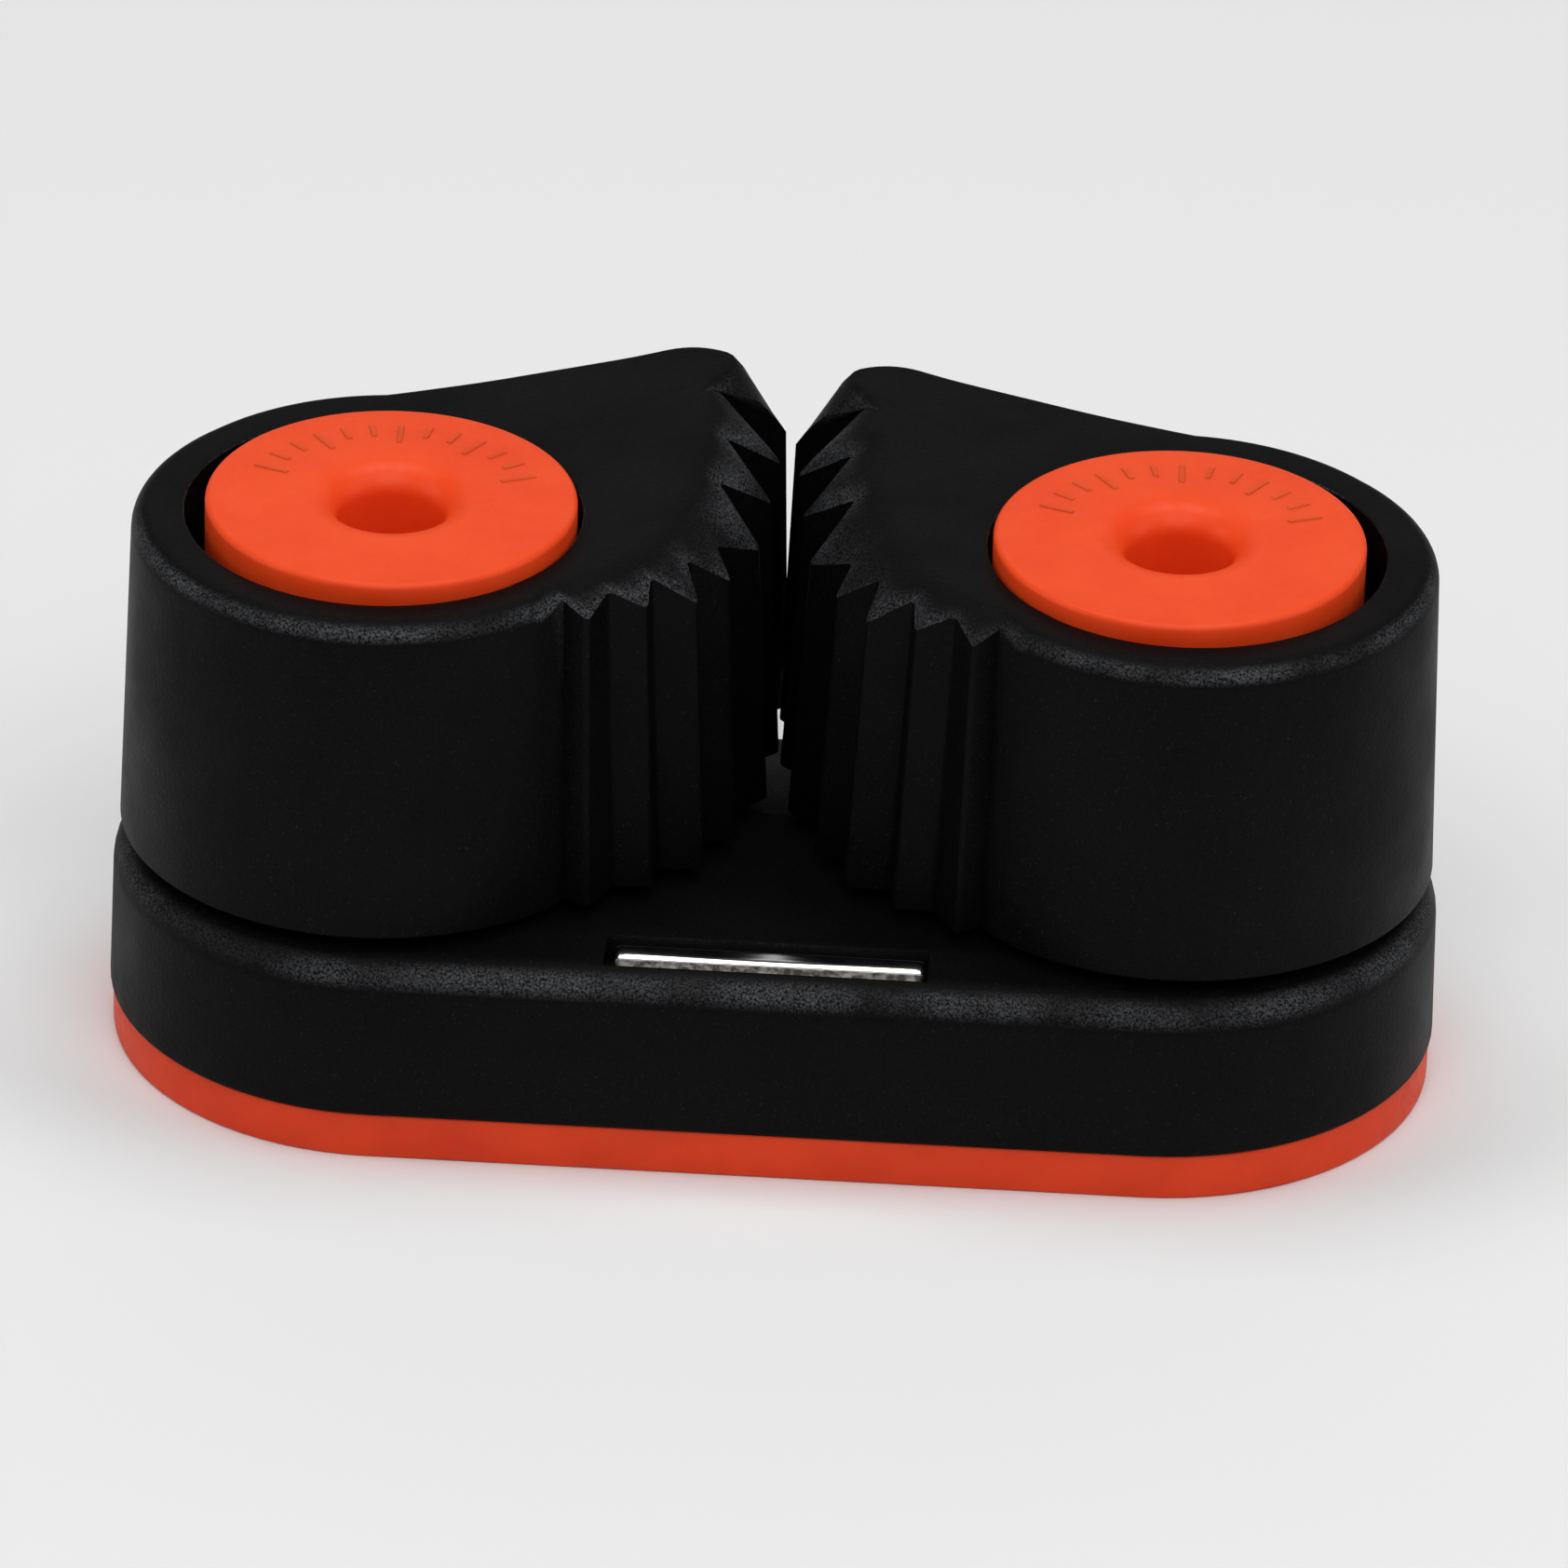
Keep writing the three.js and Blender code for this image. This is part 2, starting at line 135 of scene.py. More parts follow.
REST_TURN = {"left": 2, "right": -1.9}

HUB_RADIUS = 12.1
HUB_CENTRE = Vector((-0.45, 0.35))
HUB_DRAFT = 0.5
HUB_START_ANGLE = 92
HUB_END_ANGLE = 312
TEETH = [
    (9.8, -8.1), (10.7, -6.15),
    (12.6, -6.1), (12.65, -4.4),
    (15.0, -4.1), (14.3, -2.05),
    (16.5, -1.0), (15.7, 0.6),
    (17.85, 3.1), (15.65, 5.5),
    (18.3, 7.6), (15.9, 10.0),
    (18.65, 12.0), (15.4, 14.6),
    (18.75, 16.6),
]
FRONT_VALLEY = (8.6, -7.4)
REAR_CORNER = (14.25, 19.05)
REAR_EDGE = [(10.7, 17.2), (7.0, 15.55), (3.4, 14.0)]
CREASE = [
    (7.6, -6.4), (9.6, -5.2), (11.6, -2.6), (13.0, 1.4),
    (14.0, 6.5), (14.2, 11.5), (14.5, 14.45),
]
SLOPE_LINEAR = 0.055
SLOPE_CURVED = 0.145
EDGE_RADIUS = 1.1
REAR_EDGE_RADIUS = 0.5
# The CAD cams lean out less over the last four values: 0.7, 0.58, 0.35, 0.3.
JAW_DRAFT = [0.5, 0.65, 0.75, 0.75, 0.72, 0.85, 0.6, 0.45]


# ---- Mesh helpers -------------------------------------------------------------------------------

def polar(radius, degrees, centre=(0, 0)):
    angle = math.radians(degrees)
    return Vector((centre[0] + radius * math.cos(angle), centre[1] + radius * math.sin(angle)))


def arc(centre, radius, start, end, steps):
    """Points of an arc in a plane, both ends included."""
    return [polar(radius, start + (end - start) * i / steps, centre) for i in range(steps + 1)]


def spline(points, share):
    """A Catmull-Rom curve through the points, at a share from 0 to 1 of its spans."""
    spans = len(points) - 1
    place = min(max(share, 0.0), 1.0) * spans
    i = min(int(place), spans - 1)
    t = place - i
    p1, p2 = Vector(points[i]), Vector(points[i + 1])
    p0 = Vector(points[i - 1]) if i > 0 else 2 * p1 - p2
    p3 = Vector(points[i + 2]) if i + 2 <= spans else 2 * p2 - p1
    bend = (2 * p0 - 5 * p1 + 4 * p2 - p3) * t * t
    return 0.5 * (2 * p1 + (p2 - p0) * t + bend + (3 * p1 - p0 - 3 * p2 + p3) * t ** 3)


def new_mesh(name, points, faces, sharp_angle=32):
    mesh = bpy.data.meshes.new(name)
    mesh.from_pydata([Vector(p) * MM for p in points], [], faces)
    mesh.validate()
    piece = bpy.data.objects.new(name, mesh)
    bpy.context.scene.collection.objects.link(piece)
    settle(piece, sharp_angle)
    return piece


def settle(piece, sharp_angle=32):
    """Outward faces, smooth shading, and sharp edges where the surface turns sharply."""
    mesh = piece.data
    form = bmesh.new()
    form.from_mesh(mesh)
    bmesh.ops.remove_doubles(form, verts=form.verts, dist=1e-7)
    bmesh.ops.recalc_face_normals(form, faces=form.faces)
    form.to_mesh(mesh)
    form.free()
    mesh.polygons.foreach_set("use_smooth", [True] * len(mesh.polygons))
    mesh.set_sharp_from_angle(angle=math.radians(sharp_angle))
    mesh.update()


def loft(name, rings, loop=False, sharp_angle=32):
    """A closed solid through rings of points, with flat ends or joined round into a loop."""
    count = len(rings[0])
    points = [p for ring in rings for p in ring]
    faces = []
    for i in range(len(rings) if loop else len(rings) - 1):
        here, after = i * count, ((i + 1) % len(rings)) * count
        for k in range(count):
            n = (k + 1) % count
            faces.append((here + k, here + n, after + n, after + k))
    if not loop:
        faces.append(tuple(range(count)))
        faces.append(tuple(range(len(points) - count, len(points))))
    return new_mesh(name, points, faces, sharp_angle)


def revolve(name, profile, segments=128, sharp_angle=32):
    """A closed (radius, height) profile turned about Z."""
    rings = []
    for i in range(segments):
        angle = 2 * math.pi * i / segments
        rings.append([(r * math.cos(angle), r * math.sin(angle), z) for r, z in profile])
    return loft(name, rings, loop=True, sharp_angle=sharp_angle)


def move(piece, offset, mirror=False):
    """Places a piece by its mesh, so that its object stays at the origin."""
    change = Matrix.Translation(Vector(offset) * MM)
    if mirror:
        change = change @ Matrix.Diagonal((-1, 1, 1, 1))
    piece.data.transform(change)
    if mirror:
        piece.data.flip_normals()
    return piece


def apply_modifiers(piece):
    shown = piece.evaluated_get(bpy.context.evaluated_depsgraph_get())
    piece.data = bpy.data.meshes.new_from_object(shown)
    piece.modifiers.clear()


def cut(piece, cutters, join=(), sharp_angle=32):
    """Booleans the cutters out of the piece and joins others on, then removes them."""
    for operation, tools in (("UNION", join), ("DIFFERENCE", cutters)):
        for tool in tools:
            boolean = piece.modifiers.new(operation.lower(), "BOOLEAN")
            boolean.operation = operation
            boolean.object = tool
            boolean.solver = "EXACT"
    bpy.context.view_layer.update()
    apply_modifiers(piece)
    for tool in [*cutters, *join]:
        bpy.data.objects.remove(tool)
    settle(piece, sharp_angle)
    return piece


def soften(piece, width, segments=2, angle=40):
    """Breaks the hard edges of a moulding."""
    bevel = piece.modifiers.new("edge", "BEVEL")
    bevel.width = width * MM
    bevel.segments = segments
    bevel.limit_method = "ANGLE"
    bevel.angle_limit = math.radians(angle)
    bevel.use_clamp_overlap = True
    apply_modifiers(piece)
    settle(piece, 38)
    return piece


def drum(name, radius, bottom, top, centre=(0, 0), segments=64):
    """A plain round cutter."""
    circle = [polar(radius, 360 * i / segments, centre) for i in range(segments)]
    return loft(name, [[(*p, z) for p in circle] for z in (bottom, top)])


# ---- Materials ----------------------------------------------------------------------------------

def material(name, colour, roughness, metallic=0.0, coat=0.0, specular=0.5):
    made = bpy.data.materials.new(name)
    made.use_nodes = True
    shader = made.node_tree.nodes["Principled BSDF"]
    shader.inputs["Base Color"].default_value = (*colour, 1)
    shader.inputs["Roughness"].default_value = roughness
    shader.inputs["Metallic"].default_value = metallic
    shader.inputs["Coat Weight"].default_value = coat
    shader.inputs["Specular IOR Level"].default_value = specular
    return made, made.node_tree, shader


def add_node(tree, kind, **settings):
    node = tree.nodes.new(kind)
    for key, value in settings.items():
        if key in node.inputs:
            node.inputs[key].default_value = value
        else:
            setattr(node, key, value)
    return node


def noise(tree, scale, detail=3.0, stretch=(1, 1, 1), roughness=0.55):
    """Noise in the object's own coordinates; scale is features per metre."""
    place = tree.nodes.new("ShaderNodeTexCoord")
    mapping = tree.nodes.new("ShaderNodeMapping")
    mapping.inputs["Scale"].default_value = stretch
    texture = tree.nodes.new("ShaderNodeTexNoise")
    texture.inputs["Scale"].default_value = scale
    texture.inputs["Detail"].default_value = detail
    texture.inputs["Roughness"].default_value = roughness
    tree.links.new(place.outputs["Object"], mapping.inputs["Vector"])
    tree.links.new(mapping.outputs["Vector"], texture.inputs["Vector"])
    return texture.outputs["Fac"]


def ramp(tree, source, stops):
    """A colour ramp; stops are (place, grey) or (place, colour)."""
    node = tree.nodes.new("ShaderNodeValToRGB")
    tree.links.new(source, node.inputs["Fac"])
    elements = node.color_ramp.elements
    while len(elements) < len(stops):
        elements.new(0.5)
    for element, (place, value) in zip(elements, stops):
        element.position = place
        colour = value if isinstance(value, tuple) else (value, value, value)
        element.color = (*colour, 1)
    return node.outputs["Color"]


def bump(tree, shader, heights):
    """Chains bumps; each height is (source, strength, depth in millimetres)."""
    last = None
    for source, strength, depth in heights:
        node = tree.nodes.new("ShaderNodeBump")
        node.inputs["Strength"].default_value = strength
        node.inputs["Distance"].default_value = depth * MM
        tree.links.new(source, node.inputs["Height"])
        if last is not None:
            tree.links.new(last, node.inputs["Normal"])
        last = node.outputs["Normal"]
    tree.links.new(last, shader.inputs["Normal"])


def painted_edge_highlight(tree):
    """A mask of painted highlight for rounded edges and steep slopes, by which way they face, in grainy
    patches.
    """
    surface = tree.nodes.new("ShaderNodeNewGeometry")
    split = tree.nodes.new("ShaderNodeSeparateXYZ")
    tree.links.new(surface.outputs["Normal"], split.inputs["Vector"])
    facing = ramp(tree, split.outputs["Z"], [(0.2, 0.0), (0.5, 1.0), (0.75, 1.0), (0.92, 0.0)])
    grain = ramp(tree, noise(tree, 9000, 4.0), [(0.4, 0.0), (0.66, 1.0)])
    patches = ramp(tree, noise(tree, 150, 3.0), [(0.4, 0.2), (0.6, 1.0)])
    mask = facing
    for factor in (grain, patches):
        both = add_node(tree, "ShaderNodeMath", operation="MULTIPLY")
        tree.links.new(mask, both.inputs[0])
        tree.links.new(factor, both.inputs[1])
        mask = both.outputs["Value"]
    return mask


def composite_material():
    """Black glass-filled composite: fine spark-eroded grain with the odd bright fibre end, and a
    painted highlight on edges and slopes that face the lights.
    """
    made, tree, shader = material("black_composite", (0.0025, 0.0026, 0.003), 0.5, specular=0.06)
    grain = noise(tree, 4200, 4.0)
    specks = ramp(tree, noise(tree, 8500, 2.0), [(0.0, 0.0), (0.64, 0.0), (0.72, 1.0)])
    edge_highlight = painted_edge_highlight(tree)
    cloud = noise(tree, 180, 4.0)
    colour = add_node(tree, "ShaderNodeMix", data_type="RGBA")
    colour.inputs["A"].default_value = (0.0025, 0.0026, 0.003, 1)
    colour.inputs["B"].default_value = (0.016, 0.0165, 0.018, 1)
    tree.links.new(specks, colour.inputs["Factor"])
    # Painted highlight: edges and slopes that face up towards the lights get a lighter grey, in grainy
    # patches.
    highlighted = add_node(tree, "ShaderNodeMix", data_type="RGBA")
    highlighted.inputs["B"].default_value = (0.085, 0.087, 0.092, 1)
    tree.links.new(edge_highlight, highlighted.inputs["Factor"])
    tree.links.new(colour.outputs["Result"], highlighted.inputs["A"])
    tree.links.new(highlighted.outputs["Result"], shader.inputs["Base Color"])
    tree.links.new(ramp(tree, cloud, [(0.3, 0.42), (0.7, 0.58)]), shader.inputs["Roughness"])
    bump(tree, shader, [(grain, 0.55, 0.05), (cloud, 0.25, 0.06), (specks, 0.35, 0.02)])
    return made


def orange_material(name, light, deep, roughness, scatter):
    """Moulded orange plastic: it glows a little where it is thin, with faint flow and scuffs."""
    made, tree, shader = material(name, light, roughness, specular=0.22)
    shader.inputs["Subsurface Weight"].default_value = scatter
    shader.inputs["Subsurface Radius"].default_value = (1.0, 0.25, 0.08)
    shader.inputs["Subsurface Scale"].default_value = 1.6 * MM
    flow = noise(tree, 260, 4.0)
    scuffs = noise(tree, 2200, 3.0)
    colour = ramp(tree, flow, [(0.3, deep), (0.62, light)])
    tree.links.new(colour, shader.inputs["Base Color"])
    rough = ramp(tree, scuffs, [(0.35, roughness - 0.06), (0.7, roughness + 0.1)])
    tree.links.new(rough, shader.inputs["Roughness"])
    bump(tree, shader, [(scuffs, 0.2, 0.02), (flow, 0.15, 0.05)])
    return made


def bar_material():
    """Stainless bar, bright along its top and pitted along the front, where the line wears it; the
    front's darker colour is painted shade.
    """
    made, tree, shader = material("stainless", (0.72, 0.71, 0.69), 0.2, metallic=1.0)
    drawn = noise(tree, 9000, 3.0, stretch=(0.03, 1, 1))
    pits = ramp(tree, noise(tree, 3200, 4.0, stretch=(0.7, 1, 1)), [(0.36, 0.0), (0.6, 1.0)])
    place = tree.nodes.new("ShaderNodeTexCoord")
    split = tree.nodes.new("ShaderNodeSeparateXYZ")
    tree.links.new(place.outputs["Object"], split.inputs["Vector"])
    front = add_node(tree, "ShaderNodeMapRange")
    for name, value in (("From Min", BAR_WEAR_AND_SHADE_Y - 0.1), ("From Max", BAR_WEAR_AND_SHADE_Y + 0.04)):
        front.inputs[name].default_value = value * MM
    front.inputs["To Min"].default_value = 1.0
    front.inputs["To Max"].default_value = 0.0
    tree.links.new(split.outputs["Y"], front.inputs["Value"])
    worn_pits = add_node(tree, "ShaderNodeMath", operation="MULTIPLY")
    tree.links.new(front.outputs["Result"], worn_pits.inputs[0])
    tree.links.new(pits, worn_pits.inputs[1])
    # Painted shade: the front of the bar gets a much darker colour, to hold down the lamps' reflection
    # there.
    front_shade = add_node(tree, "ShaderNodeMix", data_type="RGBA")
    front_shade.inputs["A"].default_value = (0.72, 0.71, 0.7, 1)
    front_shade.inputs["B"].default_value = (0.16, 0.15, 0.14, 1)
    tree.links.new(front.outputs["Result"], front_shade.inputs["Factor"])
    colour = add_node(tree, "ShaderNodeMix", data_type="RGBA")
    colour.inputs["B"].default_value = (0.03, 0.026, 0.022, 1)
    tree.links.new(front_shade.outputs["Result"], colour.inputs["A"])
    tree.links.new(worn_pits.outputs["Value"], colour.inputs["Factor"])
    tree.links.new(colour.outputs["Result"], shader.inputs["Base Color"])
    rough = ramp(tree, front.outputs["Result"], [(0.0, 0.13), (1.0, 0.4)])
    tree.links.new(rough, shader.inputs["Roughness"])
    bump(tree, shader, [(drawn, 0.12, 0.004), (worn_pits.outputs["Value"], 0.4, 0.02)])
    return made


def spring_material():
    made, tree, shader = material("spring_steel", (0.55, 0.55, 0.54), 0.32, metallic=1.0)
    drawn = noise(tree, 1800, 3.0)
    tree.links.new(ramp(tree, drawn, [(0.3, 0.25), (0.7, 0.42)]), shader.inputs["Roughness"])
    bump(tree, shader, [(drawn, 0.2, 0.01)])
    return made


def ball_material():
    made, tree, shader = material("bearing_ball", (0.018, 0.018, 0.02), 0.25, specular=0.5)
    marks = noise(tree, 1600, 3.0)
    tree.links.new(ramp(tree, marks, [(0.3, 0.2), (0.7, 0.34)]), shader.inputs["Roughness"])
    bump(tree, shader, [(marks, 0.15, 0.01)])
    return made


BLACK = composite_material()
CAP_ORANGE = orange_material("orange_plastic", (0.96, 0.08, 0.012), (0.9, 0.066, 0.009), 0.42, 0.35)
PAD_ORANGE = orange_material("orange_pad", (0.82, 0.058, 0.01), (0.72, 0.046, 0.008), 0.5, 0.25)
STEEL = bar_material()
SPRING_STEEL = spring_material()
BALL_BLACK = ball_material()


def finish_piece(piece, look, body, node):
    """Gives a piece its look and hides the CAD node it stands for; with no body, it is left without a
    parent.
    """
    piece.data.materials.clear()
    piece.data.materials.append(look)
    if body:
        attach(piece, body)
    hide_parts(node)
    return piece


# ---- Base, pad and bar --------------------------------------------------------------------------

END_CENTRE = (BASE_LENGTH - BASE_WIDTH) / 2
END_STEPS = 40
SIDE_STEPS = 12


def stadium(inset, z):
    """One level of the base's outline, drawn in by the inset."""
    radius = BASE_WIDTH / 2 - inset
    ring = []
    for side in (1, -1):
        start = -90 if side > 0 else 90
        ring += [(*p, z) for p in arc((side * END_CENTRE, 0), radius, start, start + 180, END_STEPS)]
        for i in range(1, SIDE_STEPS):
            ring.append((side * END_CENTRE * (1 - 2 * i / SIDE_STEPS), side * radius, z))
    return ring


def rounded_plate(name, levels):
    return loft(name, [stadium(inset, z) for inset, z in levels])


def pad_piece():
    inset, low_round, high_round = 0.15, 0.2, 0.12
    levels = [(inset + low_round - p.x, p.y) for p in arc((0, low_round), low_round, -90, 0, 5)]
    top_edge = arc((0, PAD_TOP - high_round), high_round, 0, 90, 3)
    levels += [(inset + high_round - p.x, p.y) for p in top_edge]
    pad = rounded_plate("base_pad_shell", levels)
    holes = [drum("hole", SCREW_HOLE_RADIUS, -1, PAD_TOP + 1, (side * POST_X, 0))
             for side in (-1, 1)]
    cut(pad, holes)
    return finish_piece(pad, PAD_ORANGE, "base", "base_pad")


def spring_pocket():
    top = BASE_TOP + 3
    profile = [
        (BOSS_RADIUS, POCKET_FLOOR), (POCKET_RADIUS, POCKET_FLOOR),
        (POCKET_RADIUS, top), (BOSS_RADIUS, top),
    ]
    return revolve("pocket", profile, 96)


def leg_sweep():
    start = LEG_ANGLE - SWEEP_MARGIN
    end = LEG_ANGLE + OPENING_ANGLE + SWEEP_MARGIN
    outline = arc((0, 0), SWEEP_RADIUS, start, end, 20) + arc((0, 0), SPRING_RADIUS, end, start, 20)
    return loft("sweep", [[(*p, z) for p in outline] for z in (SWEEP_FLOOR, BASE_TOP + 3)])


def leg_slot():
    half = LOWER_LEG_SLOT / 2
    reach = SPRING_RADIUS + LOWER_LEG_LENGTH + 1
    corners = [(SPRING_RADIUS, -half), (reach, -half), (reach, half), (SPRING_RADIUS, half)]
    turn = Matrix.Rotation(math.radians(LOWER_LEG_ANGLE), 2)
    outline = [turn @ Vector(c) for c in corners]
    heights = (SPRING_BOTTOM_Z - half, SPRING_BOTTOM_Z + half)
    return loft("slot", [[(*p, z) for p in outline] for z in heights])


def groove():
    """The bar's groove: a round floor, straight walls and square ends."""
    radius = BAR_RADIUS + GROOVE_CLEARANCE
    outline = arc((BAR_CENTRE.y, BAR_CENTRE.z), radius, 180, 360, 24)
    outline += [Vector((BAR_CENTRE.y + side * radius, BASE_TOP + 2)) for side in (1, -1)]
    ends = (GROOVE_SHIFT_X - GROOVE_LENGTH / 2, GROOVE_SHIFT_X + GROOVE_LENGTH / 2)
    return loft("groove", [[(x, *p) for p in outline] for x in ends])


def scoop():
    """A long tilted cylinder that hollows the rear edge between the posts, where the line leaves."""
    cutter = drum("scoop", SCOOP_RADIUS, -20, 20, segments=160)
    tilt = math.radians(SCOOP_TILT)
    cutter.data.transform(Matrix.Rotation(math.radians(90) - tilt, 4, "X"))
    return move(cutter, (0, BASE_WIDTH / 2, BASE_TOP - SCOOP_DEPTH + SCOOP_RADIUS / math.cos(tilt)))


def base_piece():
    draft, edge = 0.15, 1.8
    foot = 0.2
    shoulder = BASE_TOP - edge
    levels = [(foot - p.x, p.y) for p in arc((0, PAD_TOP + foot), foot, -90, 0, 3)]
    levels += [(draft + edge - p.x, p.y) for p in arc((0, shoulder), edge, 0, 90, 10)]
    base = rounded_plate("base_body", levels)
    bosses, cutters = [], [groove(), scoop()]
    for side in (-1, 1):
        offset = (side * POST_X, 0, 0)
        mirror = side > 0
        boss = drum("boss", BOSS_RADIUS, BASE_TOP - 1, BOSS_TOP, segments=96)
        bosses.append(move(boss, offset, mirror))
        cutters += [move(tool, offset, mirror) for tool in (spring_pocket(), leg_sweep(), leg_slot())]
        cutters.append(move(drum("bore", STEM_RADIUS + 0.3, 0, BOSS_TOP + 1), offset))
    cut(base, cutters, bosses)
    soften(base, 0.14)
    return finish_piece(base, BLACK, "base", "base")


def bar_piece():
    """A short drawn bar with broken ends, very slightly flattened along the top by the line."""
    half, chamfer = BAR_LENGTH / 2, 0.28
    profile = [(0.0, -half)]
    profile += [(p.x, -half + chamfer - p.y) for p in arc((BAR_RADIUS - chamfer, 0), chamfer, 90, 0, 4)]
    profile += [(BAR_RADIUS, -half + BAR_LENGTH * i / 24) for i in range(1, 24)]
    profile += [(p.x, half - chamfer + p.y) for p in arc((BAR_RADIUS - chamfer, 0), chamfer, 0, 90, 4)]
    profile.append((0.0, half))
    segments = 48
    rings = [[(x, r * math.cos(2 * math.pi * i / segments), r * math.sin(2 * math.pi * i / segments))
              for i in range(segments)] for r, x in profile[1:-1]]
    bar = loft("wear_bar_rod", rings)
    for vertex in bar.data.vertices:
        across = 1 - (vertex.co.x / MM / half) ** 2
        crown = BAR_RADIUS - 0.06 * across
        vertex.co.z = min(vertex.co.z, crown * MM)
    move(bar, BAR_CENTRE)
    return finish_piece(bar, STEEL, "base", "wear_bar")


# ---- Caps ---------------------------------------------------------------------------------------

def cap_profile(ring_top):
    """Half of the flanged post: bell-mouthed hole, flat ring, rounded rim, then down the stem."""
    mouth, depth, rim = 4.35, 1.4, 0.3
    profile = [(SCREW_HOLE_RADIUS + 0.15, PAD_TOP), (SCREW_HOLE_RADIUS, PAD_TOP + 0.15)]
    for i in range(17):
        angle = math.radians(90 * i / 16)
        profile.append((
            SCREW_HOLE_RADIUS + (mouth - SCREW_HOLE_RADIUS) * (1 - math.cos(angle)),
            ring_top - depth * (1 - math.sin(angle)),
        ))
    profile += [(5.2, ring_top), (7.6, ring_top)]
    profile += [tuple(p) for p in arc((FLANGE_RADIUS - rim, ring_top - rim), rim, 90, 0, 7)]
    foot = 0.3
    profile += [tuple(p) for p in arc((FLANGE_RADIUS - foot, FLANGE_BOTTOM + foot), foot, 0, -90, 4)]
    profile += [(STEM_RADIUS + 0.2, FLANGE_BOTTOM), (STEM_RADIUS, FLANGE_BOTTOM - 0.2)]
    profile += [(STEM_RADIUS, PAD_TOP + 0.2), (STEM_RADIUS - 0.2, PAD_TOP)]
    return profile


def cap_piece(side):
    """The cap, with a row of plain raised ticks round the back of its ring."""
    ring_top = CAP_TOP - TICK_HEIGHT
    cap = revolve(f"{side}_cap_post", cap_profile(ring_top), 160)
    form = bmesh.new()
    form.from_mesh(cap.data)
    for i in range(TICK_COUNT):
        angle = math.radians(TICK_START_ANGLE + TICK_STEP_ANGLE * i)
        long_tick = i % 3 == 0
        inner, outer, half = (5.5 if long_tick else 6.1), 7.3, 0.17
        along = Vector((math.cos(angle), math.sin(angle), 0))
        over = Vector((-along.y, along.x, 0))
        low = [along * r + over * s for r, s in (
            (inner, -half), (outer, -half), (outer, half), (inner, half))]
        high = [along * r + over * s * 0.7 for r, s in (
            (inner + 0.06, -half), (outer - 0.06, -half), (outer - 0.06, half), (inner + 0.06, half))]
        bottom = [form.verts.new((p + Vector((0, 0, ring_top - 0.05))) * MM) for p in low]
        top = [form.verts.new((p + Vector((0, 0, CAP_TOP))) * MM) for p in high]
        form.faces.new(bottom[::-1])
        form.faces.new(top)
        for a in range(4):
            b = (a + 1) % 4
            form.faces.new((bottom[a], bottom[b], top[b], top[a]))
    form.to_mesh(cap.data)
    form.free()
    settle(cap)
    move(cap, (-POST_X if side == "left" else POST_X, 0, 0))
    return finish_piece(cap, CAP_ORANGE, "base", f"{side}_cap")


# ---- Cams ---------------------------------------------------------------------------------------

def rounded_corner(before, corner, after, radius, steps):
    """A corner eased into a curve; gives points and how far each lies between the neighbours."""
    before, corner, after = Vector(before), Vector(corner), Vector(after)
    back, ahead = before - corner, after - corner
    start = corner + back.normalized() * min(radius, back.length * 0.45)
    end = corner + ahead.normalized() * min(radius, ahead.length * 0.45)
    points = []
    for i in range(steps + 1):
        t = i / steps
        points.append(start * (1 - t) ** 2 + corner * 2 * t * (1 - t) + end * t ** 2)
    lead = (start - corner).length / back.length
    lag = (end - corner).length / ahead.length
    return points, [(-lead + (lead + lag) * i / steps) for i in range(steps + 1)]


def slope_fall(reach):
    """How far the top has sloped down at a distance from the crease."""
    return SLOPE_LINEAR * reach + SLOPE_CURVED * reach ** 2


def station(edge, foot, bottom, slope, rounding, fall):
    return {
        "edge": edge, "foot": foot, "bottom": bottom,
        "slope": slope, "rounding": rounding, "fall": fall,
    }


def jaw_draft(place):
    """How much further out the jaw stands at the bottom, at a place counted in outline points."""
    level = min(max((place - 0.5) / 2, 0), len(JAW_DRAFT) - 1)
    low = min(int(level), len(JAW_DRAFT) - 2)
    front, rear = JAW_DRAFT[low], JAW_DRAFT[low + 1]
    return front + (rear - front) * (level - low)


def jaw_stations():
    """Edge, foot and bottom points along the teeth, front to rear."""
    line = [FRONT_VALLEY, *TEETH]
    last = len(line) - 1
    stations = []
    for i, corner in enumerate(line):
        if i in (0, last):
            samples = [(Vector(corner), float(i))]
        else:
            is_tip = i % 2 == 1
            radius = 0.32 if is_tip else 0.26
            points, shares = rounded_corner(line[i - 1], corner, line[i + 1], radius, 4)
            samples = [(p, i + s) for p, s in zip(points, shares)]
        for edge, place in samples:
            share = place / last
            foot = spline(CREASE, share)
            bottom = edge + (edge - foot).normalized() * jaw_draft(place)
            fall = slope_fall((edge - foot).length)
            stations.append(station(edge, foot, bottom, 1.0, REAR_EDGE_RADIUS, fall))
    return stations


